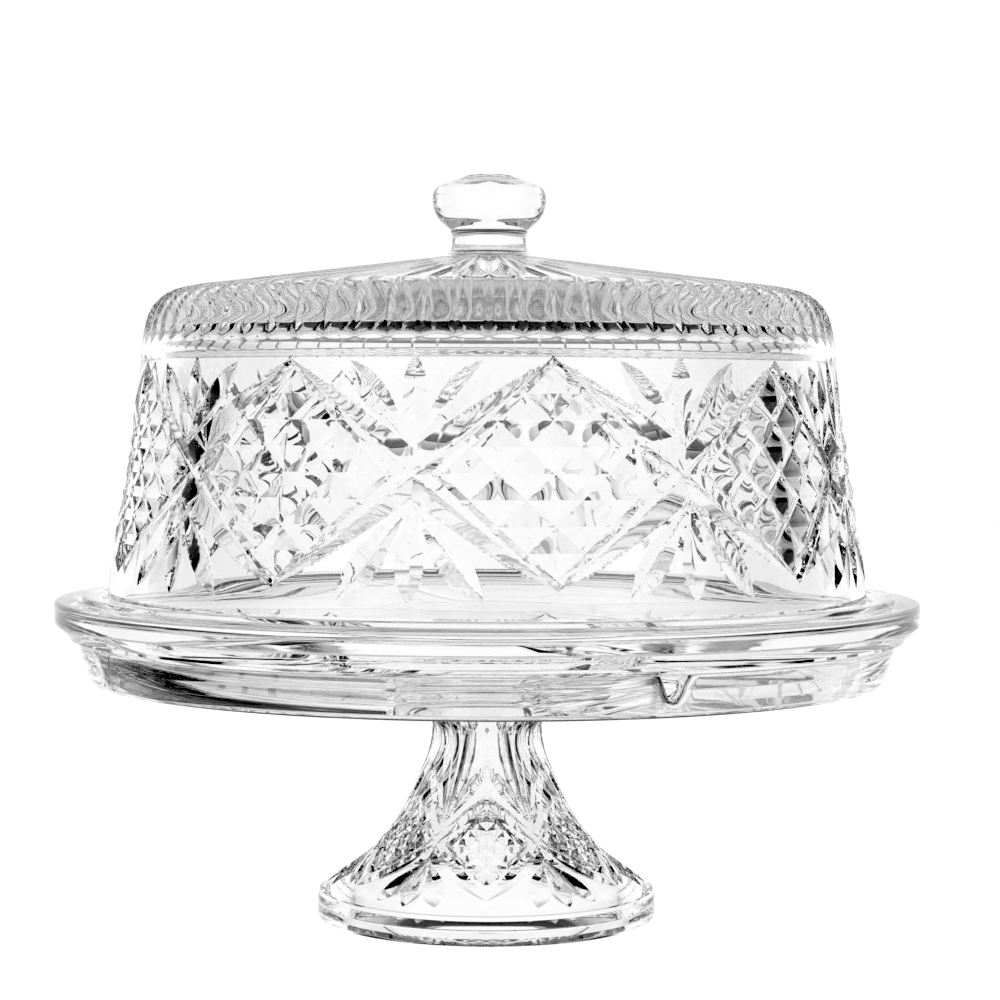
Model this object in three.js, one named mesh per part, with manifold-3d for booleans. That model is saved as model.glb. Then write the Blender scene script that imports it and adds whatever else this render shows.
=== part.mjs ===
// Cake stand in three loose pieces of pressed clear glass: a pedestal, a plate that rests on it, and
// a domed cover that stands on the plate. The plate is a divided dish when it is turned over.
// Millimetres, +Z up, origin on the axis at the table under the foot. -Y is the front.
import * as THREE from "three";
import { mergeVertices } from "three/addons/utils/BufferGeometryUtils.js";
import Module from "manifold-3d";

const FIT = 0.3; // gap left between two pieces that touch
const WELD_TOLERANCE = 1e-4; // vertices closer than this become one

// ---------------------------------------------------------------- materials
function glass(color) {
  return new THREE.MeshStandardMaterial({
    color,
    roughness: 0.04,
    metalness: 0,
    transparent: true,
    opacity: 0.35,
  });
}

// Near-white tints, one for each piece.
const GLASS = {
  pedestal: glass(0xe9eef2),
  plate: glass(0xeef2f5),
  cover: glass(0xf1f4f6),
  knob: glass(0xf4f6f8),
};

// ---------------------------------------------------------------- geometry helpers
const wasm = await Module();
wasm.setup();

// Turns a profile of [radius, height] points about the Z axis.
function lathe(profile, segments) {
  const points = profile.map(([radius, height]) => new THREE.Vector2(radius, height));
  return new THREE.LatheGeometry(points, segments).rotateX(Math.PI / 2);
}

// Welds a closed surface into a solid, turning its triangles round if they face inward.
function solid(geometry) {
  geometry.deleteAttribute("normal");
  geometry.deleteAttribute("uv");
  const welded = mergeVertices(geometry, WELD_TOLERANCE);
  const vertProperties = new Float32Array(welded.attributes.position.array);
  const triVerts = new Uint32Array(welded.index.array);
  const build = () =>
    new wasm.Manifold(new wasm.Mesh({ numProp: 3, vertProperties, triVerts }));

  const made = build();
  if (made.volume() >= 0) return made;
  for (let i = 0; i < triVerts.length; i += 3) {
    [triVerts[i + 1], triVerts[i + 2]] = [triVerts[i + 2], triVerts[i + 1]];
  }
  return build();
}

function mesh(name, manifold, material) {
  const { vertProperties, triVerts } = manifold.getMesh();
  const geometry = new THREE.BufferGeometry()
    .setAttribute("position", new THREE.BufferAttribute(new Float32Array(vertProperties), 3))
    .setIndex(new THREE.BufferAttribute(new Uint32Array(triVerts), 1));
  geometry.computeVertexNormals();
  const made = new THREE.Mesh(geometry, material);
  made.name = name;
  return made;
}

// ---------------------------------------------------------------- plate
const PLATE_R = 152.4; // outside radius
const RIM_TOP_Z = 113.5; // top of the outer rim
const SEAT_Z = 113.3; // flat seat the cover stands on, inside the gallery ring
const SERVING_Z = 113; // serving surface, a shade lower than the seat
const SERVING_R = 118;
const GALLERY_Z = 115.6; // top of the low ring that keeps the cover central
const GALLERY_INNER_R = 137; // radii of that ring at its foot
const GALLERY_OUTER_R = 144.6;
const UNDER_Z = 101.3; // underside of the serving disc
const SKIRT_FOOT_Z = 84.8; // lower edge of the skirt
const WELL_INNER_R = 34.8; // ring in the middle, which drops over the top of the pedestal
const WELL_OUTER_R = 38.3;
const WELL_Z = 91.2; // lower edge of that ring
const PLATE_SEGMENTS = 72;

// [radius, height], from the middle of the top, round the rim and skirt, to the middle underneath.
const PLATE = [
  [0, SERVING_Z],
  [SERVING_R, SERVING_Z],
  [SERVING_R + 0.8, SEAT_Z],
  [GALLERY_INNER_R, SEAT_Z],
  [137.7, GALLERY_Z - 0.5],
  [138.8, GALLERY_Z],
  [142.6, GALLERY_Z],
  [143.8, GALLERY_Z - 0.6],
  [GALLERY_OUTER_R, RIM_TOP_Z],
  [151.0, RIM_TOP_Z],
  [PLATE_R, 112.1],
  [PLATE_R, 106.4],
  [150.4, 103.9],
  [144.0, 98.9],
  [143.4, 97.0],
  [141.8, 89.8],
  [140.4, 86.8],
  [138.9, SKIRT_FOOT_Z],
  [137.9, 85.0],
  [137.1, 86.6],
  [136.8, 99.4],
  [134.9, UNDER_Z],
  [WELL_OUTER_R, UNDER_Z],
  [WELL_OUTER_R - 0.9, WELL_Z + 0.8],
  [WELL_OUTER_R - 1.7, WELL_Z],
  [WELL_INNER_R + 0.8, WELL_Z + 0.8],
  [WELL_INNER_R, UNDER_Z],
  [0, UNDER_Z],
];

// Radial walls under the plate, from the well to the skirt.
const DIVIDER = {
  count: 4,
  startDeg: 24.7, // azimuth of the first one, from the front towards +X
  innerR: 36.6,
  outerR: 138,
  bottomZ: 90.8,
  topZ: UNDER_Z + 1.5, // sunk into the plate
  bottomWidth: 3,
  topWidth: 14,
  chamfer: 1.4, // on both lower edges
};

function divider(azimuthDeg) {
  const { innerR, outerR, bottomZ, topZ, bottomWidth, topWidth, chamfer } = DIVIDER;
  const section = new THREE.Shape([
    new THREE.Vector2(-bottomWidth / 2, bottomZ + chamfer),
    new THREE.Vector2(-bottomWidth / 2 + chamfer, bottomZ),
    new THREE.Vector2(bottomWidth / 2 - chamfer, bottomZ),
    new THREE.Vector2(bottomWidth / 2, bottomZ + chamfer),
    new THREE.Vector2(topWidth / 2, topZ),
    new THREE.Vector2(-topWidth / 2, topZ),
  ]);
  const bar = new THREE.ExtrudeGeometry(section, {
    depth: outerR - innerR,
    bevelEnabled: false,
    steps: 1,
  });
  // The section is drawn in (across, height). The length runs outward along -Y before it is
  // turned to its azimuth.
  bar.rotateX(Math.PI / 2);
  bar.translate(0, -innerR, 0);
  bar.rotateZ(THREE.MathUtils.degToRad(azimuthDeg));
  return solid(bar);
}

function plate() {
  let body = solid(lathe(PLATE, PLATE_SEGMENTS));
  for (let i = 0; i < DIVIDER.count; i++) {
    body = body.add(divider(DIVIDER.startDeg + (360 / DIVIDER.count) * i));
  }
  return body;
}

// ---------------------------------------------------------------- pedestal
const PEDESTAL_TOP_Z = UNDER_Z - FIT;
const HEAD_R = 30.6; // widest part of the cup on top
const BORE_R = 12.8; // narrowest part of the hollow
const FOOT_R = 60; // outside radius of the foot
const PEDESTAL_SEGMENTS = 48;

// A cup whose edge carries the plate, a waist and a flared foot, hollow all the way through. The
// cup takes the knob when the cover is turned over and used as a bowl.
// [radius, height], from the bore up inside the cup, down the outside and back up the hollow foot.
const PEDESTAL = [
  [BORE_R, 64.0],
  [13.4, 68.0],
  [16.4, 71.4],
  [19.5, 75.4],
  [21.4, 79.6],
  [22.9, 84.4],
  [24.6, 90.0],
  [26.2, 95.6],
  [27.2, PEDESTAL_TOP_Z - 0.8],
  [28.0, PEDESTAL_TOP_Z],
  [29.8, PEDESTAL_TOP_Z],
  [HEAD_R, PEDESTAL_TOP_Z - 1.2],
  [29.4, 94.6],
  [27.4, 87.6],
  [25.4, 80.8],
  [23.6, 76.0],
  [21.4, 72.2],
  [19.6, 69.0],
  [19.8, 65.6],
  [20.6, 61.2],
  [24.9, 48.4],
  [31.3, 35.6],
  [39.5, 24.9],
  [49.7, 16.4],
  [58.8, 10.0],
  [FOOT_R, 8.8],
  [FOOT_R, 1.2],
  [58.8, 0],
  [53.0, 0],
  [51.6, 1.2],
  [47.4, 11.0],
  [38.6, 20.4],
  [29.6, 29.2],
  [21.4, 42.0],
  [15.2, 54.0],
  [BORE_R, 60.0],
];

function pedestal() {
  // The profile never meets the axis, so its first point is repeated to close it.
  return solid(lathe([...PEDESTAL, PEDESTAL[0]], PEDESTAL_SEGMENTS));
}

// ---------------------------------------------------------------- cover
const COVER_Z = SEAT_Z + FIT; // standing edge
const BOSS_Z = 236; // flat on the roof that carries the knob
const FLUTES = 72; // radial flutes on the roof and shoulder
const FLUTE_DEPTH = 1.1;
const FLUTE_FADE_R = 70; // inside this radius the flutes grow shallower towards the axis
const FLUTE_END_Z = 205.5; // lowest fluted row, on the shoulder
const HOLLOW_START_Z = COVER_Z - 2; // below the standing edge, so the cut goes clean through
const COVER_SEGMENTS = 2 * FLUTES;
const HOLLOW_SEGMENTS = 72;

// Outside as [radius, height], in three runs from the standing edge up to the boss.
const COVER_WALL = [
  [0, COVER_Z],
  [133.2, COVER_Z],
  [134.1, 114.6],
  [133.4, 123.5],
  [128.2, 158],
  [121.9, 204.3],
];
const COVER_FLUTED = [
  [121.6, FLUTE_END_Z],
  [120.9, 210.2],
  [119.2, 214.2],
  [115.6, 218.8],
  [110.0, 221.5],
  [82.6, 225.4],
  [49.4, 229.8],
  [21.0, 233.4],
];
const COVER_BOSS = [
  [16.6, 234.2],
  [14.0, BOSS_Z],
  [0, BOSS_Z],
];

// Hollow as [radius, height], from below. The roof is thick, and thickest at the shoulder.
const COVER_HOLLOW = [
  [0, HOLLOW_START_Z],
  [128.6, HOLLOW_START_Z],
  [128.6, COVER_Z + 0.9],
  [127.6, 124.0],
  [122.6, 158],
  [116.3, 203],
  [115.2, 206.2],
  [112.4, 207.2],
  [96.0, 210.5],
  [82.0, 213.4],
  [49.4, 220.2],
  [20.0, 225.0],
  [0, 226.0],
];

// Every second meridian is sunk to lie in the bottom of a flute.
function cover() {
  const profile = [...COVER_WALL, ...COVER_FLUTED, ...COVER_BOSS];
  const outside = lathe(profile, COVER_SEGMENTS);
  const positions = outside.getAttribute("position");
  const firstRow = COVER_WALL.length;
  const endRow = firstRow + COVER_FLUTED.length;

  for (let row = firstRow; row < endRow; row++) {
    const [lowerR, lowerZ] = profile[row - 1];
    const [upperR, upperZ] = profile[row + 1];
    // Outward normal in the (radius, height) plane.
    const normal = new THREE.Vector2(upperZ - lowerZ, lowerR - upperR).normalize();

    for (let meridian = 1; meridian < COVER_SEGMENTS; meridian += 2) {
      const k = meridian * profile.length + row;
      const x = positions.getX(k);
      const y = positions.getY(k);
      const radius = Math.hypot(x, y);
      const depth = FLUTE_DEPTH * Math.min(1, radius / FLUTE_FADE_R);
      const shrink = (radius - normal.x * depth) / radius;
      positions.setXYZ(k, x * shrink, y * shrink, positions.getZ(k) - normal.y * depth);
    }
  }
  return solid(outside).subtract(solid(lathe(COVER_HOLLOW, HOLLOW_SEGMENTS)));
}

// ---------------------------------------------------------------- knob
const KNOB_FOOT_Z = BOSS_Z + FIT;
const KNOB_TOP_Z = 263.8;
const KNOB_SEGMENTS = 36;

// [radius, height], from the foot up.
const KNOB = [
  [0, KNOB_FOOT_Z],
  [13.3, KNOB_FOOT_Z],
  [13.0, 239.8],
  [13.2, 243.2],
  [14.0, 244.0],
  [17.4, 247.0],
  [19.4, 250.4],
  [20.15, 254.0],
  [19.3, 257.7],
  [16.4, 260.3],
  [11.0, 262.4],
  [5.2, 263.5],
  [0, KNOB_TOP_Z],
];

function knob() {
  return solid(lathe(KNOB, KNOB_SEGMENTS));
}

// ---------------------------------------------------------------- assembly
const cakeStand = new THREE.Group();
cakeStand.add(mesh("pedestal", pedestal(), GLASS.pedestal));
cakeStand.add(mesh("cake_plate", plate(), GLASS.plate));

const lid = new THREE.Group();
lid.add(mesh("dome_shell", cover(), GLASS.cover));
lid.add(mesh("dome_knob", knob(), GLASS.knob));
cakeStand.add(lid);

export default cakeStand;
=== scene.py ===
"""Looks of a cake stand with a dome cover: pressed clear glass with cut relief, on a pale floor.

The stand is upright on the Z axis with its foot at z = 0, and -Y is its front. Azimuths are radians
counted from the front towards +X. Profiles and cut depths are in millimetres and become metres when
a mesh is made; the camera and the light are placed in metres.
"""

import math
from math import pi, radians

import bpy
import numpy as np
from mathutils import Matrix, Vector


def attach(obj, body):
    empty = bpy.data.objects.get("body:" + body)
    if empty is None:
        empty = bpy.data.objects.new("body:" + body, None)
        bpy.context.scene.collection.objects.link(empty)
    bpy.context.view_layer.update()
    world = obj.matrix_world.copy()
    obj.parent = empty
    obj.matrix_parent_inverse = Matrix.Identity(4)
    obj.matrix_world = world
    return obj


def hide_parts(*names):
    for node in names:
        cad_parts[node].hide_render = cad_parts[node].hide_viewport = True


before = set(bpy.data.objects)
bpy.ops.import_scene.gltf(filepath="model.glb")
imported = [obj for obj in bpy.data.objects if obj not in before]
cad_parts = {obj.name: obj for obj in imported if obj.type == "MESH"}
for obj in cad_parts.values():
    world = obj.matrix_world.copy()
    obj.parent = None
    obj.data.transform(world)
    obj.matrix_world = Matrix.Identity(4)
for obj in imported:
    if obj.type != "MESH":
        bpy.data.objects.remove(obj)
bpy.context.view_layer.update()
FINE = 1.0  # share of the full mesh density


# ------------------------------------------------------------------ curves
def through(points, step):
    """A smooth polyline through the points, about step apart (centripetal Catmull-Rom)."""

    def blend(t, start, end, a, b):
        return (end - t) / (end - start) * a + (t - start) / (end - start) * b

    p = np.array(points, float)
    p = np.vstack([2 * p[0] - p[1], p, 2 * p[-1] - p[-2]])
    out = []
    last_span = len(p) - 3
    for i in range(1, last_span + 1):
        p0, p1, p2, p3 = p[i - 1 : i + 3]
        t0 = 0.0
        t1 = t0 + np.linalg.norm(p1 - p0) ** 0.5
        t2 = t1 + np.linalg.norm(p2 - p1) ** 0.5
        t3 = t2 + np.linalg.norm(p3 - p2) ** 0.5
        count = max(1, int(round(np.linalg.norm(p2 - p1) / step)))
        used = count + 1 if i == last_span else count
        for t in np.linspace(t1, t2, count + 1)[:used]:
            a1 = blend(t, t0, t1, p0, p1)
            a2 = blend(t, t1, t2, p1, p2)
            a3 = blend(t, t2, t3, p2, p3)
            b1 = blend(t, t0, t2, a1, a2)
            b2 = blend(t, t1, t3, a2, a3)
            out.append(blend(t, t1, t2, b1, b2))
    return np.array(out)


def joined(first, *others):
    """Polylines end to end. Each starts where the one before ends, and that point is kept once."""
    return np.vstack([np.asarray(first, float)] + [np.asarray(q, float)[1:] for q in others])


def rounded(points, radii, arc):
    """A polyline through the points, each inner corner rounded by its radius in arc steps."""
    p = np.array(points, float)
    out = [p[0]]
    for i in range(1, len(p) - 1):
        if radii[i] <= 0:
            out.append(p[i])
            continue
        back, ahead = p[i - 1] - p[i], p[i + 1] - p[i]
        back_length, ahead_length = np.linalg.norm(back), np.linalg.norm(ahead)
        back, ahead = back / back_length, ahead / ahead_length
        half_angle = math.acos(max(-1, min(1, float(back @ ahead)))) / 2
        trim = min(radii[i] / math.tan(half_angle), 0.49 * back_length, 0.49 * ahead_length)
        start, end = p[i] + back * trim, p[i] + ahead * trim
        for t in np.linspace(0, 1, arc + 1):
            out.append((1 - t) ** 2 * start + 2 * t * (1 - t) * p[i] + t * t * end)
    out.append(p[-1])
    return np.array(out)


class Profile:
    """A smooth (radius, height) curve measured by its length s, with its outward normals.

    conformal is the height on the flat map that keeps angles, where the other axis is azimuth.
    """

    def __init__(self, points, step=0.25):
        self.radius, self.height = through(points, step).T
        p = np.stack([self.radius, self.height], 1)
        steps = np.linalg.norm(np.diff(p, axis=0), axis=1)
        self.s = np.concatenate([[0], np.cumsum(steps)])
        self.length = self.s[-1]
        tangent = np.gradient(p, self.s, axis=0)
        tangent /= np.linalg.norm(tangent, axis=1)[:, None]
        self.normals = np.stack([tangent[:, 1], -tangent[:, 0]], 1)
        mean_radius = (self.radius[1:] + self.radius[:-1]) / 2
        self.conformal = np.concatenate([[0], np.cumsum(steps / mean_radius)])

    def at(self, s):
        return np.interp(s, self.s, self.radius), np.interp(s, self.s, self.height)

    def normal(self, s):
        outward = np.interp(s, self.s, self.normals[:, 0])
        upward = np.interp(s, self.s, self.normals[:, 1])
        size = np.hypot(outward, upward)
        return outward / size, upward / size

    def s_of_z(self, z):
        """The length at a height, on a profile whose height only grows."""
        return float(np.interp(z, self.height, self.s))

    def conformal_at(self, s):
        return np.interp(s, self.s, self.conformal)


# ------------------------------------------------------------------ meshes
class Mesher:
    """Collects points in millimetres and triangles. A ring is (point indices, azimuths)."""

    def __init__(self):
        self.vertices, self.faces, self.count = [], [], 0

    def points(self, p):
        p = np.asarray(p, float).reshape(-1, 3)
        first = self.count
        self.vertices.append(p)
        self.count += len(p)
        return np.arange(first, self.count)

    def ring(self, r, z, count):
        a = np.arange(count) * 2 * pi / count
        return self.points(np.stack([r * np.sin(a), -r * np.cos(a), np.full_like(a, z)], 1)), a

    def rings(self, outline, count):
        return [self.ring(r, z, count) for r, z in outline]

    def tri(self, faces):
        self.faces.append(np.asarray(faces, np.int64).reshape(-1, 3))

    def band(self, a, b):
        """Faces between two closed loops of the same count."""
        a1, b1 = np.roll(a, -1), np.roll(b, -1)
        self.tri(np.stack([a, a1, b1], 1))
        self.tri(np.stack([a, b1, b], 1))

    def stitch(self, ring_a, ring_b):
        """Faces between two rings of any count."""
        (a, ta), (b, tb) = ring_a, ring_b
        if len(a) == len(b) and np.allclose(ta, tb, atol=1e-6):
            self.band(a, b)
            return

        def by_azimuth(indices, azimuths):
            azimuths = np.mod(azimuths, 2 * pi)
            order = np.argsort(azimuths, kind="stable")
            return indices[order], azimuths[order]

        a, ta = by_azimuth(a, ta)
        b, tb = by_azimuth(b, tb)
        na, nb = len(a), len(b)
        # the second ring starts at the point nearest in azimuth to the first ring's first point
        shift = int(np.argmin(np.abs(((tb - ta[0] + pi) % (2 * pi)) - pi)))
        b = np.roll(b, -shift)
        tb = np.roll(tb, -shift)
        offset = (tb[0] - ta[0] + pi) % (2 * pi) - pi
        tb = np.where(np.arange(nb) > 0, (tb - tb[0]) % (2 * pi), 0) + offset
        ta = ta - ta[0]
        ta, tb = np.append(ta, ta[0] + 2 * pi), np.append(tb, tb[0] + 2 * pi)
        faces = []
        i = j = 0
        while i < na or j < nb:
            if j >= nb or (i < na and (ta[i] + ta[i + 1]) <= (tb[j] + tb[j + 1])):
                faces.append((a[i % na], a[(i + 1) % na], b[j % nb]))
                i += 1
            else:
                faces.append((a[i % na], b[(j + 1) % nb], b[j % nb]))
                j += 1
        self.tri(faces)

    def stitch_all(self, rings):
        for ring_a, ring_b in zip(rings, rings[1:]):
            self.stitch(ring_a, ring_b)

    def fan_to(self, loop, apex):
        """Closes the last loop of a skin with one point."""
        centre = self.points([apex])[0]
        self.tri(np.stack([loop, np.roll(loop, -1), np.full(len(loop), centre)], 1))

    def fan_from(self, apex, loop):
        """Closes the first loop of a skin with one point."""
        centre = self.points([apex])[0]
        self.tri(np.stack([np.full(len(loop), centre), np.roll(loop, -1), loop], 1))

    def from_axis(self, outline, count_at):
        """A skin along an outline that starts on the axis. count_at gives a ring's count by
        its radius. Returns the last ring."""
        r, z = outline[1]
        rings = [self.ring(r, z, count_at(r))]
        self.fan_from((0, 0, outline[0][1]), rings[0][0])
        rings += [self.ring(r, z, count_at(r)) for r, z in outline[2:]]
        self.stitch_all(rings)
        return rings[-1]

    def arrays(self):
        """The points and faces of a closed body, with the faces turned outward."""
        v, f = np.vstack(self.vertices), np.vstack(self.faces)
        a, b, c = v[f[:, 0]], v[f[:, 1]], v[f[:, 2]]
        if np.einsum("ij,ij->i", a, np.cross(b, c)).sum() < 0:
            f = f[:, ::-1]
        return v, f


def shade_smooth(mesh, sharp_deg=None):
    """Smooth shading, but for the edges sharper than sharp_deg."""
    mesh.polygons.foreach_set("use_smooth", np.ones(len(mesh.polygons), bool))
    if sharp_deg is not None:
        mesh.set_sharp_from_angle(angle=radians(sharp_deg))


def link_object(name, data):
    o = bpy.data.objects.new(name, data)
    bpy.context.scene.collection.objects.link(o)
    return o


def mesh_object(name, v, f, sharp_deg=None):
    """An object from millimetre points and triangles."""
    mesh = bpy.data.meshes.new(name)
    v = np.asarray(v, np.float64) / 1000.0
    f = np.asarray(f, np.int32)
    mesh.vertices.add(len(v))
    mesh.vertices.foreach_set("co", v.astype(np.float32).ravel())
    mesh.loops.add(f.size)
    mesh.loops.foreach_set("vertex_index", f.ravel())
    mesh.polygons.add(len(f))
    mesh.polygons.foreach_set("loop_start", np.arange(0, f.size, 3, dtype=np.int32))
    mesh.update(calc_edges=True)
    mesh.validate()
    shade_smooth(mesh, sharp_deg)
    return link_object(name, mesh)


# ------------------------------------------------------------------ cut surfaces
CREASE_DAMPING = 0.03  # holds a point near the middle of its cell where no crease pulls it
CELL_REACH = 0.47  # how far a point may move from the middle, as a share of its cell
SLOPE_STEP = 1e-3  # mm to each side, for the slopes of the relief


def crease_points(profile, depth, period, columns, s_rows):
    """One point per grid cell, drawn onto any crease that crosses the cell: the point that best
    fits the tangent planes at 3 x 3 samples. Returns azimuths, lengths and heights of relief."""
    nx, ny = columns, len(s_rows) - 1
    xs = np.linspace(0, period, 2 * nx + 1)
    ys = np.empty(2 * ny + 1)
    ys[0::2] = s_rows
    ys[1::2] = (s_rows[1:] + s_rows[:-1]) / 2
    X, S = np.meshgrid(xs, ys, indexing="ij")
    R = profile.at(S)[0]
    e = SLOPE_STEP
    height = -depth(X, S)
    slope_x = -(depth(X + e / R, S) - depth(X - e / R, S)) / (2 * e)
    slope_s = -(depth(X, S + e) - depth(X, S - e)) / (2 * e)

    mid_x = (xs[0:-1:2] + xs[2::2])[:, None] / 2 + np.zeros((nx, ny))
    mid_s = (ys[0:-1:2] + ys[2::2])[None, :] / 2 + np.zeros((nx, ny))
    mid_r = profile.at(mid_s)[0]
    half_x = (period / nx / 2) * mid_r
    half_s = ((ys[2::2] - ys[0:-1:2]) / 2)[None, :] + np.zeros((nx, ny))
    matrix = np.zeros((nx, ny, 3, 3))
    target = np.zeros((nx, ny, 3))
    for i in range(3):
        for j in range(3):
            sample = (slice(i, i + 2 * nx - 1, 2), slice(j, j + 2 * ny - 1, 2))
            gx, gs = slope_x[sample], slope_s[sample]
            row = np.stack([-gx, -gs, np.ones_like(gx)], -1)
            rhs = height[sample] - gx * ((i - 1) * half_x) - gs * ((j - 1) * half_s)
            matrix += row[..., :, None] * row[..., None, :]
            target += row * rhs[..., None]
    matrix[..., 0, 0] += CREASE_DAMPING
    matrix[..., 1, 1] += CREASE_DAMPING
    move = np.linalg.solve(matrix, target[..., None])[..., 0]
    reach_x = CELL_REACH * 2 * half_x
    reach_s = CELL_REACH * 2 * half_s
    px = mid_x + np.clip(move[..., 0], -reach_x, reach_x) / mid_r
    ps = mid_s + np.clip(move[..., 1], -reach_s, reach_s)
    # the first and last rows stay put, because plain rings join them
    for end in (0, -1):
        px[:, end] = mid_x[:, end]
        ps[:, end] = mid_s[:, end]
    return px, ps, -depth(px, ps)


def cut_surface(mesher, profile, depth, fold, columns, s_rows, turn=0.0):
    """Adds a surface of revolution with relief, and returns its first and last rings.

    depth(a, s) is how far the relief is cut in below the profile, in mm, for an azimuth from turn
    and a length along the profile. It repeats fold times round the axis.
    """
    period = 2 * pi / fold
    px, ps, ph = crease_points(profile, depth, period, columns, s_rows)

    # each four-sided cell is split along the diagonal that stays nearer the true surface
    here = (px, ps, ph)
    beside = (
        np.vstack([px[1:], px[:1] + period]),
        np.vstack([ps[1:], ps[:1]]),
        np.vstack([ph[1:], ph[:1]]),
    )

    def miss(start, end):
        (x0, s0, h0), (x1, s1, h1) = start, end
        return np.abs(-depth((x0 + x1) / 2, (s0 + s1) / 2) - (h0 + h1) / 2)

    def lower(grids):
        return [g[:, :-1] for g in grids]

    def upper(grids):
        return [g[:, 1:] for g in grids]

    straight = miss(lower(here), upper(beside)) <= miss(lower(beside), upper(here))
    straight = np.tile(straight, (fold, 1))

    r, z = profile.at(ps)
    normal_r, normal_z = profile.normal(ps)
    r = np.tile(r + normal_r * ph, (fold, 1))
    z = np.tile(z + normal_z * ph, (fold, 1))
    az = px[None] + (np.arange(fold) * period)[:, None, None] + turn
    az = az.reshape(r.shape)
    index = mesher.points(np.stack([r * np.sin(az), -r * np.cos(az), z], -1)).reshape(r.shape)
    a = index[:, :-1]
    b = np.roll(index, -1, 0)[:, :-1]
    c = np.roll(index, -1, 0)[:, 1:]
    d = index[:, 1:]
    for mask, corners in (
        (straight, (a, b, c)),
        (straight, (a, c, d)),
        (~straight, (a, b, d)),
        (~straight, (b, c, d)),
    ):
        mesher.tri(np.stack([corner[mask] for corner in corners], 1))
    return (index[:, 0], az[:, 0]), (index[:, -1], az[:, -1])


# ------------------------------------------------------------------ cuts
def almond(t):
    return np.sin(pi * t) ** 0.85


def petal(t):
    """Narrow at the root, widest beyond the middle, pointed at the tip."""
    return np.sin(pi * t**1.45) ** 0.9


def leaf_depth(x, y, root, tip, half_width, shape, slope, keel):
    """How deep a leaf-shaped V cut goes at (x, y). It runs from root to tip, is half_width wide on
    each side where shape(t) is 1, and its sides slope by slope. keel rounds its bottom."""
    (x0, y0), (x1, y1) = root, tip
    dx, dy = x1 - x0, y1 - y0
    length = math.hypot(dx, dy)
    ux, uy = dx / length, dy / length
    t = ((x - x0) * ux + (y - y0) * uy) / length
    d = np.abs(-(x - x0) * uy + (y - y0) * ux)
    d = np.sqrt(d * d + keel * keel) - keel
    deep = slope * (half_width * shape(np.clip(t, 0, 1)) - d)
    return np.where((t > 0) & (t < 1), deep, -1.0)


def cut_leaves(depth, x, y, leaves, slope, keel):
    """The depth with leaves added. A leaf is (root, tip, half width, shape)."""
    for root, tip, half_width, shape in leaves:
        depth = np.maximum(depth, leaf_depth(x, y, root, tip, half_width, shape, slope, keel))
    return depth


def lattice_depth(x, y, pitch_x, pitch_y, reach, deepest, power):
    """V cuts along both diagonals, which leave a four-sided pyramid in each cell, within a diamond
    whose points are reach pitches from the middle."""
    u, v = x / pitch_x + y / pitch_y, x / pitch_x - y / pitch_y
    # 0 on a cut, 1 at the middle of a cell
    away = np.minimum(np.abs(u - 2 * np.round(u / 2)), np.abs(v - 2 * np.round(v / 2)))
    inside = (np.abs(x) / (reach * pitch_x) + np.abs(y) / (reach * pitch_y)) < 1
    return np.where(inside, deepest * (1 - away) ** power, 0.0)


def folded(a, half):
    """Azimuth from the nearest diamond's middle: 0 there, half at a crossing."""
    return np.abs((a + half) % (2 * half) - half)


# ------------------------------------------------------------------ cover: outlines
# outside of the dome from the standing edge to the boss: radius, height
COVER_OUT = Profile(
    [
        (134.0, 114.6), (133.75, 119.0), (133.3, 124.5), (131.6, 136.5), (129.9, 147.5),
        (128.2, 158.5), (126.5, 170.0), (124.8, 182.0), (123.2, 193.5), (122.35, 200.5),
        (121.9, 204.5), (121.2, 208.6), (120.2, 212.2), (118.6, 215.4), (116.0, 218.4),
        (112.2, 220.9), (106.0, 222.4), (99.0, 223.3), (82.6, 225.5), (66.0, 227.7),
        (49.4, 229.9), (32.5, 232.1), (21.0, 233.6), (17.2, 234.2),
    ]
)  # fmt: skip
BOSS_TOP_Z = 236.0
# small boss under the knob: radius, height
BOSS = through([(17.2, 234.2), (15.4, 234.75), (14.5, 235.35), (14.2, BOSS_TOP_Z)], 0.4)

# inside of the dome from the axis down: the roof is thickest at the shoulder, and meets the wall
# across a narrow sloping band
COVER_IN = joined(
    through(
        [(0.0, 226.0), (20.0, 225.0), (49.4, 220.1), (82.0, 213.4), (96.0, 210.4), (104.0, 208.7)],
        4.0,
    ),
    rounded(
        [(104.0, 208.7), (111.3, 207.0), (115.95, 203.1), (116.4, 198.5)],
        [0, 3.0, 2.0, 0],
        arc=10,
    ),
    through([(116.4, 198.5), (118.6, 183.0), (122.4, 157.0), (127.4, 124.0), (128.3, 115.6)], 3.0),
)
# standing edge, from the inside to the outside: both corners rounded
COVER_EDGE = rounded(
    [(128.3, 115.6), (128.35, 113.6), (133.9, 113.6), (134.0, 114.9)], [0, 0.9, 0.9, 0], arc=4
)

# ------------------------------------------------------------------ cover: cuts
DIAMONDS = 9
SIDE_TURN = radians(9.4)  # azimuth of the middle of one big diamond
DIAMOND_HALF = radians(180 / DIAMONDS)  # azimuth from a diamond's middle to a crossing
DIAMOND_Z = 160.4
DIAMOND_RADIUS = 128.2  # radius at the diamonds' middle, which turns azimuths into mm
WALL_LEAN = 1.008  # length along the leaning wall per mm of height
CROSSING_X = DIAMOND_HALF * DIAMOND_RADIUS

SIDE_LATTICE = dict(
    pitch_x=radians(4) * DIAMOND_RADIUS, pitch_y=8.25, reach=4.35, deepest=2.0, power=1.2
)
SIDE_V = dict(slope=0.42, keel=0.12)
MITRE_TOP, MITRE_BOTTOM = 35.5, -36.0  # ends of the long mitre cuts, from the diamonds' middle
MITRE_HALF_WIDTH = 6.2
FAN_X = 9.9 / 180 * pi * DIAMOND_RADIUS  # 9.9 degrees: how far outer leaves lean to a side
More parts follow.
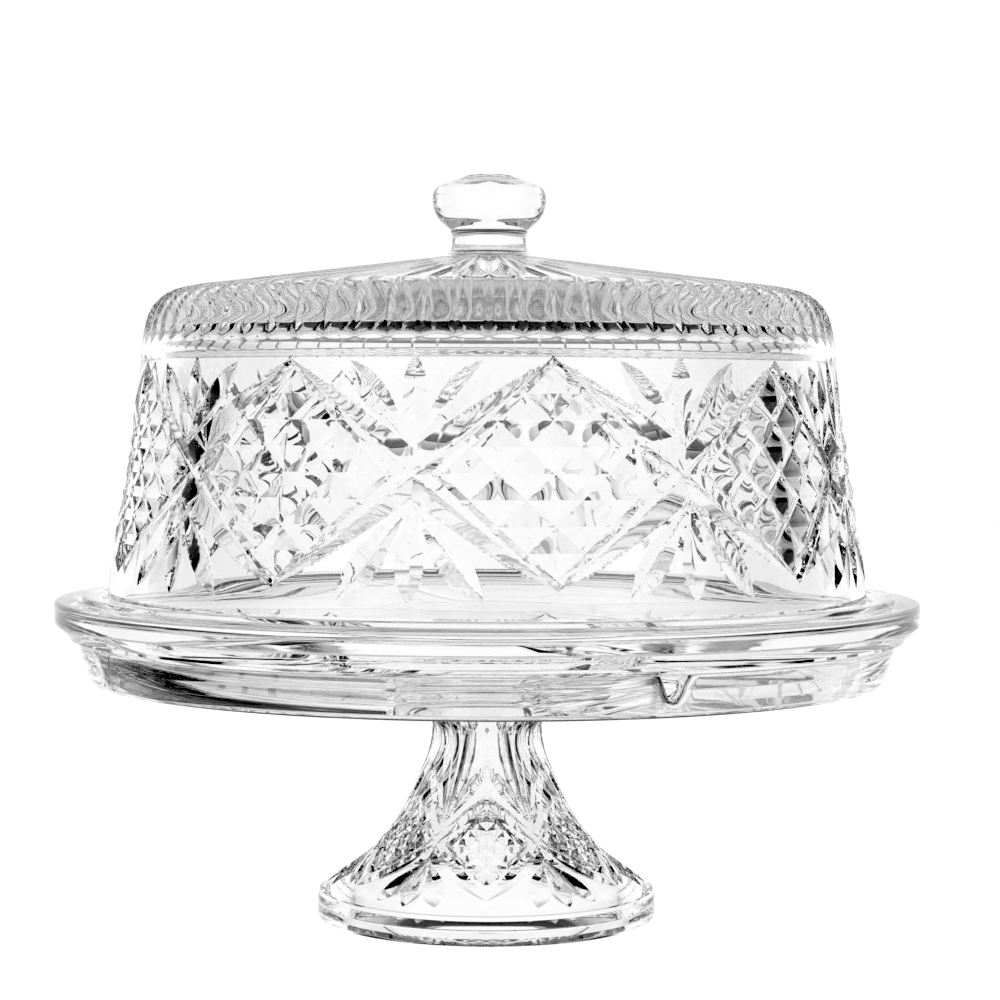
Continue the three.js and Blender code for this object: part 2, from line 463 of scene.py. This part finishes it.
# fans at the crossings: root height, and for each leaf tip sideways, tip height, half width
SIDE_FANS = (
    (8.4, ((0.0, 37.0, 3.9), (-FAN_X, 35.0, 4.3), (FAN_X, 35.0, 4.3))),
    (-8.6, ((0.0, -40.6, 4.3), (-FAN_X, -39.8, 4.4), (FAN_X, -39.8, 4.4))),
)
COLLAR = dict(z=197.6, blend=0.22, proud=0.28)  # plain band above the cut field, and its step

FLUTES = 72
FLUTE = radians(360 / FLUTES)
FLUTE_START = COVER_OUT.s_of_z(201.8)  # the flutes fade out here, on the wall
FLUTE_FADE = 8.5


def side_leaves():
    """Long mitre cuts between the diamonds' points through the crossings, and the fans."""
    period = 2 * CROSSING_X
    leaves = [
        (
            (period * k, start_y),
            (period * k + side * period, end_y),
            MITRE_HALF_WIDTH,
            almond,
        )
        for start_y, end_y in ((MITRE_TOP, MITRE_BOTTOM), (MITRE_BOTTOM, MITRE_TOP))
        for k in (-1, 0, 1)
        for side in (1, -1)
    ]
    for root_y, tips in SIDE_FANS:
        for tip_x, tip_y, half_width in tips:
            leaves.append(((CROSSING_X, root_y), (CROSSING_X + tip_x, tip_y), half_width, petal))
    return leaves


SIDE_LEAVES = side_leaves()


def cover_side_depth(a, s):
    """Big cross-hatched diamonds between long crossing mitre cuts, with a fan of three leaves
    above and below each crossing. a is counted from the middle of a diamond."""
    z = COVER_OUT.at(s)[1]
    x = folded(a, DIAMOND_HALF) * DIAMOND_RADIUS
    y = (z - DIAMOND_Z) * WALL_LEAN
    depth = cut_leaves(lattice_depth(x, y, **SIDE_LATTICE), x, y, SIDE_LEAVES, **SIDE_V)
    return depth + COLLAR["proud"] * (1 / (1 + np.exp((z - COLLAR["z"]) / COLLAR["blend"])))


def cover_roof_depth(a, s):
    """Hollow flutes over the roof and the shoulder, fading out on the wall."""
    r = COVER_OUT.at(s)[0]
    across = ((a + FLUTE / 2) % FLUTE - FLUTE / 2) / (FLUTE / 2)  # -1 to 1 across a flute
    width = r * FLUTE
    # share of the width: deep on the shoulder, shallower over the roof
    share = np.interp(s, [FLUTE_START, FLUTE_START + 9.0, FLUTE_START + 24.0], [0.20, 0.18, 0.12])
    bowl = width * share * np.maximum(1 - across * across, 0) ** 0.9
    t = np.clip((s - FLUTE_START) / FLUTE_FADE, 0, 1)
    limit = np.interp(r, [18.4, 23.0], [0.0, 0.8])  # runs out beside the boss
    return np.minimum(bowl * t * t * (3 - 2 * t), limit)


# ------------------------------------------------------------------ cover: mesh
COVER_COUNT = 288  # points in a full ring


def side_rows():
    start, stop = 0.9, COVER_OUT.s_of_z(200.2)
    return np.linspace(start, stop, int(round((stop - start) / (0.72 / FINE))) + 1)


def roof_rows(start):
    """Rows from the collar to the boss, closest where the flutes fade and at the boss."""
    flutes_near = FLUTE_START - 0.6
    flutes_full = FLUTE_START + 6.0
    roof_start = COVER_OUT.s_of_z(222.4)
    stop = COVER_OUT.length - 0.8
    return np.concatenate(
        [
            np.linspace(start, flutes_near, 3)[:-1],
            np.linspace(flutes_near, flutes_full, int(18 * FINE) + 1)[:-1],
            np.linspace(flutes_full, roof_start, int(22 * FINE) + 1)[:-1],
            np.linspace(roof_start, stop - 6, int(32 * FINE) + 1)[:-1],
            np.linspace(stop - 6, stop, 8),
        ]
    )


def build_cover():
    m = Mesher()
    edge = m.rings(COVER_EDGE, COVER_COUNT)
    m.stitch_all(edge)

    rows = side_rows()
    side_columns = int(round(124 * FINE))
    side_start, side_end = cut_surface(
        m, COVER_OUT, cover_side_depth, DIAMONDS, side_columns, rows, turn=SIDE_TURN
    )
    m.stitch(edge[-1], side_start)

    roof_columns = max(8, int(12 * FINE))
    rows = roof_rows(start=rows[-1] + 0.8)
    roof_start, roof_end = cut_surface(
        m, COVER_OUT, cover_roof_depth, FLUTES, roof_columns, rows, turn=FLUTE / 2
    )
    m.stitch(side_end, roof_start)

    boss = m.rings(BOSS, 180)
    m.stitch_all([roof_end, *boss])
    m.fan_to(boss[-1][0], (0, 0, BOSS_TOP_Z))

    # the last point of the inside is the first ring of the edge
    inside_end = m.from_axis(
        COVER_IN[:-1], lambda r: 72 if r < 30 else 144 if r < 75 else COVER_COUNT
    )
    m.stitch(inside_end, edge[0])
    return mesh_object("dome_cover_glass", *m.arrays(), sharp_deg=13)


# ------------------------------------------------------------------ knob
# neck, bead and swelling side of the knob, upward: radius, height
KNOB_SIDE = joined(
    [(13.95, 235.8), (13.55, 236.7)],
    through(
        [(13.55, 236.7), (13.2, 238.2), (13.05, 240.2), (13.25, 242.3), (13.75, 243.3)],
        0.4,
    ),
    [(13.75, 243.3), (13.5, 243.75), (14.2, 244.3)],
    through(
        [
            (14.2, 244.3), (15.6, 245.4), (17.4, 247.1), (18.9, 249.4),
            (19.85, 251.8), (20.15, 254.2), (20.05, 256.2),
        ],
        0.45,
    ),
)  # fmt: skip
KNOB_TOP_Z = 263.8
# crown of the knob: radius, height
KNOB_CROWN = Profile(
    [
        (20.05, 256.2), (19.3, 258.0), (17.6, 259.7), (15.0, 261.1),
        (11.5, 262.3), (7.5, 263.2), (3.5, 263.68), (0.6, KNOB_TOP_Z),
    ],
    step=0.15,
)  # fmt: skip
PANELS = 8
PANEL = 2 * pi / PANELS
PANEL_LEAN = radians(24)  # how far a panel's normal is tipped outward from upright
PANEL_POINT = (15.2, 261.2)  # radius, height: a panel is set back below this point
PANEL_SET_BACK = 0.95
PANEL_MAX_DEPTH = 2.4
PANEL_DATUM_Z = 250  # height that distances along a panel's normal are counted from


def knob_depth(a, s):
    """Flat panels cut round the crown, with a ridge to the front."""

    def along_normal(r, z):
        return r * math.sin(PANEL_LEAN) + (z - PANEL_DATUM_Z) * math.cos(PANEL_LEAN)

    r, z = KNOB_CROWN.at(s)
    from_middle = a % PANEL - PANEL / 2
    plane = along_normal(*PANEL_POINT) - PANEL_SET_BACK
    return np.clip(along_normal(r * np.cos(from_middle), z) - plane, 0, PANEL_MAX_DEPTH)


def build_knob():
    m = Mesher()
    side = m.rings(KNOB_SIDE, 160)
    m.fan_from((0, 0, KNOB_SIDE[0][1]), side[0][0])
    m.stitch_all(side)
    rows = np.linspace(0.35, KNOB_CROWN.length - 0.2, int(58 * FINE) + 1)
    start, end = cut_surface(m, KNOB_CROWN, knob_depth, PANELS, int(26 * FINE), rows)
    m.stitch(side[-1], start)
    m.fan_to(end[0], (0, 0, KNOB_TOP_Z))
    return mesh_object("dome_knob_glass", *m.arrays(), sharp_deg=9)


# ------------------------------------------------------------------ plate
PLATE_TOP_Z = 113.0
PLATE_UNDER_Z = 101.3
# plate from its flat top over the rim, down the skirt and in under: radius, height, rounding
PLATE_CORNERS = (
    (112.0, PLATE_TOP_Z, 0), (118.0, PLATE_TOP_Z, 0.3), (118.8, 113.3, 0.3),
    (136.9, 113.3, 0.8), (138.1, 115.6, 0.9), (143.0, 115.6, 1.2), (144.3, 113.5, 0.9),
    (152.4, 113.5, 1.6), (152.4, 110.6, 0.25), (151.8, 110.3, 0.2), (152.2, 109.6, 0.5),
    (152.3, 105.9, 0.9), (150.6, 104.2, 0.6), (147.6, 101.5, 0.5), (147.0, 100.4, 0.4),
    (143.95, 98.9, 0.7), (142.75, 93.9, 8.0), (141.2, 89.6, 6.0), (140.2, 86.4, 2.5),
    (138.6, 84.7, 0.9), (137.2, 86.0, 0.9), (136.9, PLATE_UNDER_Z, 3.0),
    (118.0, PLATE_UNDER_Z, 0), (70.0, PLATE_UNDER_Z, 0), (44.0, PLATE_UNDER_Z, 0),
    (38.5, PLATE_UNDER_Z, 1.4), (37.4, 91.2, 1.1), (35.8, 91.2, 0.8),
    (34.8, PLATE_UNDER_Z, 1.2), (28.0, PLATE_UNDER_Z, 0),
)  # fmt: skip
PLATE_OUTLINE = joined(
    [(r, PLATE_TOP_Z) for r in (0.0, 30.0, 60.0, 90.0, 112.0)],
    rounded([c[:2] for c in PLATE_CORNERS], [c[2] for c in PLATE_CORNERS], arc=8),
    [(r, PLATE_UNDER_Z) for r in (28.0, 14.0, 0.0)],
)

DIVIDERS = 4
DIVIDER_TURN = 24.7  # azimuth of the first divider, in degrees
# half of a divider's V section: distance from its middle, height
DIVIDER_HALF = [
    (0.0, 91.0), (0.6, 91.1), (1.2, 91.5), (1.7, 92.2), (2.2, 93.2), (2.8, 94.6),
    (3.4, 96.1), (4.1, 97.6), (4.9, 99.0), (6.1, 100.2), (7.8, 101.1), (9.8, 101.6),
]  # fmt: skip
DIVIDER_EDGE_Z = 101.7  # the section's two upper ends, inside the plate
DIVIDER_CAP_Z = 101.6
DIVIDER_RADII = (36.4, 60.0, 100.0, 125.0, 134.0)  # stations with the plain section
DIVIDER_END = 138.4  # inside the skirt
FILLET = 2.9
FILLET_STEPS = 8


def divider_stations():
    """(radius, growth of the section) along a divider, with the fillet into the skirt."""
    stations = [(r, 0.0) for r in DIVIDER_RADII]
    for k in range(1, FILLET_STEPS + 1):
        w = math.sin(k / FILLET_STEPS * pi / 2) * FILLET
        stations.append((DIVIDER_RADII[-1] + w, FILLET - math.sqrt(FILLET * FILLET - w * w)))
    stations.append((DIVIDER_END, FILLET))
    return stations


def divider_mesh(azimuth):
    """One V-shaped divider under the plate, filleted into the plate and into the skirt."""
    section = np.array([(-x, z) for x, z in reversed(DIVIDER_HALF[1:])] + DIVIDER_HALF)
    tangent = np.gradient(section, axis=0)
    tangent /= np.linalg.norm(tangent, axis=1)[:, None]
    out = np.stack([tangent[:, 1], -tangent[:, 0]], 1)  # away from the middle, and down
    sin, cos = math.sin(azimuth), math.cos(azimuth)
    stations = divider_stations()
    m = Mesher()
    loops = []
    for r, grow in stations:
        x = section[:, 0] + out[:, 0] * grow
        z = section[:, 1] + out[:, 1] * grow
        z[0] = z[-1] = DIVIDER_EDGE_Z
        loops.append(m.points(np.stack([x * cos + r * sin, x * sin - r * cos, z], 1)))
    for near, far in zip(loops, loops[1:]):
        m.band(near, far)
    for loop, r in ((loops[0], stations[0][0]), (loops[-1][::-1], stations[-1][0])):
        m.fan_from((r * sin, -r * cos, DIVIDER_CAP_Z), loop)
    return m.arrays()


def unite(target, parts):
    """Joins the parts into the target's mesh and removes them."""
    for part in parts:
        mod = target.modifiers.new("join", "BOOLEAN")
        mod.operation = "UNION"
        # a Blender without the Manifold solver refuses its name
        try:
            mod.solver = "MANIFOLD"
        except TypeError:
            mod.solver = "EXACT"
        mod.object = part
    graph = bpy.context.evaluated_depsgraph_get()
    mesh = bpy.data.meshes.new_from_object(target.evaluated_get(graph), depsgraph=graph)
    target.modifiers.clear()
    target.data = mesh
    mesh.name = target.name
    for part in parts:
        bpy.data.objects.remove(part, do_unlink=True)


def build_plate():
    m = Mesher()
    last = m.from_axis(PLATE_OUTLINE[:-1], lambda r: 72 if r < 70 else 360)
    m.fan_to(last[0], (0, 0, PLATE_UNDER_Z))
    plate = mesh_object("cake_plate_glass", *m.arrays())
    dividers = [
        mesh_object(f"rib_{i}", *divider_mesh(radians(DIVIDER_TURN + 360 / DIVIDERS * i)))
        for i in range(DIVIDERS)
    ]
    unite(plate, dividers)
    shade_smooth(plate.data, sharp_deg=24)
    return plate


# ------------------------------------------------------------------ pedestal
# outside of the foot and stem, upward: radius, height
STEM_OUT = Profile(
    [
        (58.6, 10.2), (57.0, 11.4), (52.1, 14.9), (46.8, 18.7), (41.6, 22.8), (37.7, 27.1),
        (34.3, 31.3), (31.3, 35.6), (28.8, 39.9), (26.7, 44.1), (24.9, 48.4), (23.4, 52.7),
        (21.8, 56.9), (20.6, 61.2), (19.8, 65.6), (19.7, 69.0), (21.3, 72.2), (23.4, 76.0),
        (25.4, 80.8), (27.4, 87.6), (29.4, 94.6), (30.5, 99.2),
    ]
)  # fmt: skip
# rounded top rim of the stem, inward: radius, height
STEM_RIM = ((30.6, 99.8), (30.45, 100.5), (29.8, 101.0), (28.6, 101.0))
# hollow inside, downward: radius, height
STEM_IN = through(
    [
        (28.0, 101.0), (27.2, 100.2), (26.2, 95.6), (24.6, 90.0), (22.9, 84.4), (21.3, 79.6),
        (19.4, 75.4), (16.4, 71.4), (13.8, 67.6), (12.85, 64.4), (12.9, 60.0), (14.8, 54.6),
        (17.8, 49.0), (21.4, 42.6), (25.4, 36.2), (30.4, 30.0), (36.6, 23.6), (43.6, 16.0),
        (49.2, 8.0), (51.8, 1.6),
    ],
    1.4,
)  # fmt: skip
# foot from the inside, under and up its grooved edge: radius, height, rounding
FOOT_CORNERS = (
    (51.8, 1.6, 0), (53.2, 0.0, 0.8), (59.3, 0.0, 0.6), (60.0, 1.0, 0.6), (60.0, 4.9, 0.15),
    (59.6, 5.3, 0.15), (60.0, 5.7, 0.15), (60.0, 8.8, 0.8), (59.3, 9.9, 0.4), (58.6, 10.2, 0),
)  # fmt: skip
FOOT = rounded([c[:2] for c in FOOT_CORNERS], [c[2] for c in FOOT_CORNERS], arc=4)

# Cuts on the stem are laid out on its conformal map, x = azimuth and y = conformal height from the
# crossings, so they shrink with the radius. Widths and depths are shares of the radius.
STEM_DIAMONDS = 6
STEM_HALF = radians(180 / STEM_DIAMONDS)  # azimuth from a diamond's middle to a crossing
STEM_CROSSING_Z = 29.9
STEM_LATTICE = dict(
    pitch_x=radians(21.5) / 4, pitch_y=0.385 / 4, reach=4.25, deepest=0.040, power=1.0
)
STEM_KEEL = 0.003
STEM_MITRE_SLOPE = 0.50
STEM_FAN_SLOPE = 0.58
# mitre cuts from a crossing along the diamonds' edges: tip height, half width, shape
STEM_MITRES = ((43.6, 0.070, petal), (14.4, 0.062, almond))
# fans at the crossings: root height, and for each leaf tip sideways in degrees, tip height,
# half width
STEM_FANS = (
    (
        36.4,
        (
            (30.0, 56.5, 0.085),
            (16.0, 73.0, 0.110),
            (0.0, 82.0, 0.13),
            (-16.0, 73.0, 0.110),
            (-30.0, 56.5, 0.085),
        ),
    ),
    (25.4, ((12.0, 12.2, 0.085), (0.0, 11.6, 0.085), (-12.0, 12.2, 0.085))),
)


def stem_conformal(z):
    return float(STEM_OUT.conformal_at(STEM_OUT.s_of_z(z)))


STEM_CROSSING = stem_conformal(STEM_CROSSING_Z)


def stem_mitre_leaves():
    return [
        ((root_x, 0.0), (tip_x, stem_conformal(tip_z) - STEM_CROSSING), half_width, shape)
        for tip_z, half_width, shape in STEM_MITRES
        for root_x, tip_x in ((STEM_HALF, 0.0), (STEM_HALF, 2 * STEM_HALF), (-STEM_HALF, 0.0))
    ]


def stem_fan_leaves():
    return [
        (
            (STEM_HALF, stem_conformal(root_z) - STEM_CROSSING),
            (STEM_HALF + radians(tip_deg), stem_conformal(tip_z) - STEM_CROSSING),
            half_width,
            petal,
        )
        for root_z, tips in STEM_FANS
        for tip_deg, tip_z, half_width in tips
    ]


STEM_MITRE_LEAVES = stem_mitre_leaves()
STEM_FAN_LEAVES = stem_fan_leaves()


def stem_depth(a, s):
    """Cross-hatched diamonds round the flare, crossing mitre cuts between them, and fans of leaves
    that run up the stem and down to the foot."""
    x = folded(a, STEM_HALF)
    y = STEM_OUT.conformal_at(s) - STEM_CROSSING
    r, z = STEM_OUT.at(s)
    fade = np.interp(z, [80.0, 90.0], [1.0, 0.5])  # shallower at the top
    depth = lattice_depth(x, y, **STEM_LATTICE)
    depth = cut_leaves(depth, x, y, STEM_MITRE_LEAVES, STEM_MITRE_SLOPE, STEM_KEEL)
    depth = cut_leaves(depth, x, y, STEM_FAN_LEAVES, STEM_FAN_SLOPE, STEM_KEEL)
    return depth * r * fade


def build_pedestal():
    m = Mesher()
    foot = m.rings(FOOT, 240)
    m.stitch_all(foot)
    length = STEM_OUT.length
    rows = np.linspace(0.2, length - 0.4, int(round(length / (0.62 / FINE))) + 1)
    start, end = cut_surface(m, STEM_OUT, stem_depth, STEM_DIAMONDS, int(64 * FINE), rows)
    m.stitch(foot[-1], start)
    # the last point of the inside is the first ring of the foot
    m.stitch_all([end, *m.rings(STEM_RIM, 180), *m.rings(STEM_IN[:-1], 180), foot[0]])
    return mesh_object("pedestal_glass", *m.arrays(), sharp_deg=13)


# ------------------------------------------------------------------ nodes
def empty_tree(owner):
    owner.use_nodes = True
    owner.node_tree.nodes.clear()
    return owner.node_tree


def node(nt, kind, **inputs):
    """A node with input values by name, with _ for a space."""
    n = nt.nodes.new(kind)
    for key, value in inputs.items():
        n.inputs[key.replace("_", " ")].default_value = value
    return n


def math_node(nt, operation, *operands):
    """The result of a math node on numbers or sockets."""
    n = nt.nodes.new("ShaderNodeMath")
    n.operation = operation
    for i, operand in enumerate(operands):
        if isinstance(operand, (int, float)):
            n.inputs[i].default_value = operand
        else:
            nt.links.new(operand, n.inputs[i])
    return n.outputs[0]


def vector_math(nt, operation, vector):
    n = nt.nodes.new("ShaderNodeVectorMath")
    n.operation = operation
    nt.links.new(vector, n.inputs[0])
    return n


def switch_by_ray(nt, ray, otherwise, shader):
    """Mixes two shaders by a light path output: shader for that kind of ray."""
    path = nt.nodes.new("ShaderNodeLightPath")
    mix = nt.nodes.new("ShaderNodeMixShader")
    nt.links.new(path.outputs[ray], mix.inputs[0])
    nt.links.new(otherwise.outputs[0], mix.inputs[1])
    nt.links.new(shader.outputs[0], mix.inputs[2])
    return mix.outputs[0]


# ------------------------------------------------------------------ glass
def glass(name, tint, wave_mm, seed):
    """Fire-polished pressed glass: clear, a little wavy, with faint handling haze."""
    mat = bpy.data.materials.new(name)
    nt = empty_tree(mat)
    link = nt.links.new
    out = node(nt, "ShaderNodeOutputMaterial")
    coord = node(nt, "ShaderNodeTexCoord")
    place = node(nt, "ShaderNodeMapping", Location=(seed * 1.7, seed * 0.9, seed * 2.3))
    link(coord.outputs["Object"], place.inputs["Vector"])

    wave = node(nt, "ShaderNodeTexNoise", Scale=70.0, Detail=1.5, Roughness=0.4)
    fine = node(nt, "ShaderNodeTexNoise", Scale=420.0, Detail=2.0, Roughness=0.5)
    haze = node(nt, "ShaderNodeTexNoise", Scale=26.0, Detail=4.0, Roughness=0.6)
    for noise in (wave, fine, haze):
        link(place.outputs["Vector"], noise.inputs["Vector"])
    wave_share = math_node(nt, "MULTIPLY", wave.outputs["Fac"], 1.0)
    fine_share = math_node(nt, "MULTIPLY", fine.outputs["Fac"], 0.05)
    height = math_node(nt, "ADD", wave_share, fine_share)
    bump = node(nt, "ShaderNodeBump", Strength=1.0, Distance=wave_mm / 1000.0)
    link(height, bump.inputs["Height"])

    # only the thicker patches of haze roughen the surface
    rough = node(
        nt, "ShaderNodeMapRange", From_Min=0.45, From_Max=0.8, To_Min=0.0, To_Max=0.035
    )
    link(haze.outputs["Fac"], rough.inputs["Value"])

    # the haze lightens the tint by a trace
    colour = node(nt, "ShaderNodeMixRGB")
    colour.inputs[1].default_value = (*tint, 1)
    colour.inputs[2].default_value = (*[min(1.0, c * 1.006) for c in tint], 1)
    link(haze.outputs["Fac"], colour.inputs[0])

    body = node(nt, "ShaderNodeBsdfGlass", IOR=1.52)
    body.distribution = "GGX"
    link(colour.outputs[0], body.inputs["Color"])
    link(rough.outputs[0], body.inputs["Roughness"])
    link(bump.outputs[0], body.inputs["Normal"])

    # light passes straight through to the floor, a little dimmed
    clear = node(nt, "ShaderNodeBsdfTransparent", Color=(0.93, 0.935, 0.94, 1))
    link(switch_by_ray(nt, "Is Shadow Ray", body, clear), out.inputs["Surface"])
    return mat


# ------------------------------------------------------------------ surroundings
# brightness by angle off the line of sight, in degrees, from straight ahead to straight behind
SURROUND_TURN = (
    (0, 1.0), (56, 1.0), (62, 0.6), (68, 0.08), (74, 0.01), (104, 0.01),
    (116, 0.6), (140, 0.9), (158, 0.5), (180, 0.3),
)  # fmt: skip
# dimming above and below: direction, degrees where it starts and ends, brightness beyond
SURROUND_TILT = (
    (1, 28.0, 38.0, 0.02),
    (-1, 25.0, 45.0, 0.6),
)


def surround_group():
    """Light of the studio by direction from the camera: a white backdrop ahead, dark flags to the
    sides, soft boxes behind the camera, a dark ceiling, and a floor a little darker than the
    backdrop. Glass shows its edges and cuts by it."""
    g = bpy.data.node_groups.new("surround", "ShaderNodeTree")
    link = g.links.new
    g.interface.new_socket("Direction", in_out="INPUT", socket_type="NodeSocketVector")
    g.interface.new_socket("Color", in_out="OUTPUT", socket_type="NodeSocketColor")
    group_in, group_out = g.nodes.new("NodeGroupInput"), g.nodes.new("NodeGroupOutput")
    direction = vector_math(g, "NORMALIZE", group_in.outputs[0])
    axes = node(g, "ShaderNodeSeparateXYZ")
    link(direction.outputs[0], axes.inputs[0])
    ahead = math_node(g, "MAXIMUM", axes.outputs[2], -1.0)
    ahead = math_node(g, "MINIMUM", ahead, 1.0)
    angle = math_node(g, "DIVIDE", math_node(g, "ARCCOSINE", ahead), pi)

    ramp = node(g, "ShaderNodeValToRGB")
    ramp.color_ramp.interpolation = "EASE"
    stops = ramp.color_ramp.elements
    while len(stops) > 1:
        stops.remove(stops[-1])
    for i, (degrees, level) in enumerate(SURROUND_TURN):
        stop = stops.new(degrees / 180) if i else stops[0]
        stop.position = degrees / 180
        stop.color = (level, level, level, 1)
    link(angle, ramp.inputs[0])

    light = ramp.outputs[0]
    for sign, start_deg, end_deg, level in SURROUND_TILT:
        dimmed = vector_math(g, "SCALE", light)
        tilt = node(
            g,
            "ShaderNodeMapRange",
            From_Min=sign * math.sin(radians(start_deg)),
            From_Max=sign * math.sin(radians(end_deg)),
            To_Min=1.0,
            To_Max=level,
        )
        tilt.interpolation_type = "SMOOTHSTEP"
        link(axes.outputs[1], tilt.inputs["Value"])
        link(tilt.outputs[0], dimmed.inputs["Scale"])
        light = dimmed.outputs[0]
    link(light, group_out.inputs[0])
    return g


def surround_node(nt, surround, direction):
    n = nt.nodes.new("ShaderNodeGroup")
    n.node_tree = surround
    nt.links.new(direction, n.inputs[0])
    return n


def floor_material(surround):
    """A pale sweep: white to the camera, with the faint shadow of the foot on it. Other rays see
    the surroundings in its place."""
    mat = bpy.data.materials.new("pale_floor")
    nt = empty_tree(mat)
    link = nt.links.new
    out = node(nt, "ShaderNodeOutputMaterial")
    matt = node(nt, "ShaderNodeBsdfDiffuse", Color=(0.6, 0.6, 0.6, 1))
    glow = node(nt, "ShaderNodeEmission", Color=(1.0, 1.0, 1.0, 1), Strength=0.86)
    seen = node(nt, "ShaderNodeAddShader")
    link(matt.outputs[0], seen.inputs[0])
    link(glow.outputs[0], seen.inputs[1])

    geometry = node(nt, "ShaderNodeNewGeometry")
    onward = vector_math(nt, "SCALE", geometry.outputs["Incoming"])
    onward.inputs["Scale"].default_value = -1.0
    to_camera = node(nt, "ShaderNodeVectorTransform")
    to_camera.vector_type = "VECTOR"
    to_camera.convert_from = "WORLD"
    to_camera.convert_to = "CAMERA"
    link(onward.outputs[0], to_camera.inputs[0])
    light = surround_node(nt, surround, to_camera.outputs[0])
    through_glass = node(nt, "ShaderNodeEmission")
    link(light.outputs[0], through_glass.inputs["Color"])
    link(switch_by_ray(nt, "Is Camera Ray", through_glass, seen), out.inputs["Surface"])
    return mat


def build_world(surround):
    """The surroundings, but plain white where the camera sees them directly."""
    world = bpy.data.worlds.new("studio")
    bpy.context.scene.world = world
    nt = empty_tree(world)
    link = nt.links.new
    out = node(nt, "ShaderNodeOutputWorld")
    coord = node(nt, "ShaderNodeTexCoord")
    light = surround_node(nt, surround, coord.outputs["Camera"])
    path = node(nt, "ShaderNodeLightPath")
    direct = node(nt, "ShaderNodeMixRGB")
    link(path.outputs["Is Camera Ray"], direct.inputs[0])
    link(light.outputs[0], direct.inputs[1])
    direct.inputs[2].default_value = (1, 1, 1, 1)
    background = node(nt, "ShaderNodeBackground", Strength=1.0)
    link(direct.outputs[0], background.inputs["Color"])
    link(background.outputs[0], out.inputs["Surface"])


# ------------------------------------------------------------------ stage
FLOOR_Z = -0.15  # mm, just under the foot
FLOOR_RADII = (40.0, 120.0, 300.0, 700.0, 1600.0, 4000.0)


def build_floor(surround):
    """A wide round disc."""
    m = Mesher()
    rings = m.rings([(r, FLOOR_Z) for r in FLOOR_RADII], 96)
    m.fan_from((0, 0, FLOOR_Z), rings[0][0])
    m.stitch_all(rings)
    face_up = np.vstack(m.faces)[:, ::-1]
    floor = mesh_object("floor", np.vstack(m.vertices), face_up)
    floor.data.materials.append(floor_material(surround))


def build_key_light():
    """A soft light from the front left and above. It serves the floor only; the glass is drawn by
    its surroundings."""
    light = bpy.data.lights.new("key", "AREA")
    light.shape = "RECTANGLE"
    light.size = 1.0
    light.size_y = 0.7
    light.energy = 9.0
    key = link_object("key", light)
    key.location = (-0.9, -0.9, 1.5)
    aim = Vector((0, 0, 0.12)) - key.location
    key.rotation_euler = aim.to_track_quat("-Z", "Y").to_euler()
    key.visible_camera = False
    key.visible_glossy = False
    key.visible_transmission = False


CAMERA_PLACE = (0.0, -0.9256, 0.1776)
CAMERA_PITCH = radians(1.8284366)  # looking down
CAMERA_YAW = radians(0.26444018)  # turned towards +X
CAMERA_ROLL = radians(0.25)


def build_camera():
    """The camera stands in front of the axis, a little above the middle of the stand."""
    data = bpy.data.cameras.new("camera")
    data.sensor_width = 36.0
    data.lens = 93.6
    data.clip_start = 0.05
    data.clip_end = 50.0
    cam = link_object("camera", data)
    forward = Vector(
        (
            math.sin(CAMERA_YAW) * math.cos(CAMERA_PITCH),
            math.cos(CAMERA_YAW) * math.cos(CAMERA_PITCH),
            -math.sin(CAMERA_PITCH),
        )
    )
    right = forward.cross(Vector((0, 0, 1))).normalized()
    up = right.cross(forward).normalized()
    right, up = (
        right * math.cos(CAMERA_ROLL) + up * math.sin(CAMERA_ROLL),
        up * math.cos(CAMERA_ROLL) - right * math.sin(CAMERA_ROLL),
    )
    turn = Matrix((right, up, -forward)).transposed()
    cam.matrix_world = Matrix.Translation(CAMERA_PLACE) @ turn.to_4x4()
    bpy.context.scene.camera = cam


def set_render():
    scene = bpy.context.scene
    view = scene.view_settings
    view.view_transform = "Standard"
    view.look = "None"
    view.exposure = 0.0
    # a slightly firmer print: the darkest and lightest twentieths are clipped
    view.use_curve_mapping = True
    view.curve_mapping.black_level = (0.05, 0.05, 0.05)
    view.curve_mapping.white_level = (0.95, 0.95, 0.95)
    view.curve_mapping.update()

    # many bounces, as a ray crosses several walls of glass
    cycles = scene.cycles
    cycles.max_bounces = 24
    cycles.transmission_bounces = 24
    cycles.glossy_bounces = 12
    cycles.diffuse_bounces = 2
    cycles.transparent_max_bounces = 24
    cycles.caustics_reflective = False
    cycles.caustics_refractive = False
    cycles.blur_glossy = 0.0
    cycles.use_adaptive_sampling = True
    cycles.adaptive_threshold = 0.02


# ------------------------------------------------------------------ assembly
DOME_TINT = (0.996, 0.9965, 0.9955)
STAND_TINT = (0.995, 0.9955, 0.9945)
# builder, body it rides on, CAD piece it replaces, material, tint, waviness in mm
PIECES = (
    (build_cover, "dome", "dome_shell", "cover_glass", DOME_TINT, 0.012),
    (build_knob, "dome", "dome_knob", "knob_glass", DOME_TINT, 0.006),
    (build_plate, "plate", "cake_plate", "plate_glass", STAND_TINT, 0.004),
    (build_pedestal, "base", "pedestal", "pedestal_glass", STAND_TINT, 0.01),
)


def main():
    for seed, (build, body, replaced, material, tint, wave_mm) in enumerate(PIECES, start=1):
        piece = build()
        piece.data.materials.clear()
        piece.data.materials.append(glass(material, tint, wave_mm, seed))
        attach(piece, body)
        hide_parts(replaced)
    surround = surround_group()
    build_floor(surround)
    build_world(surround)
    build_key_light()
    build_camera()
    set_render()


main()
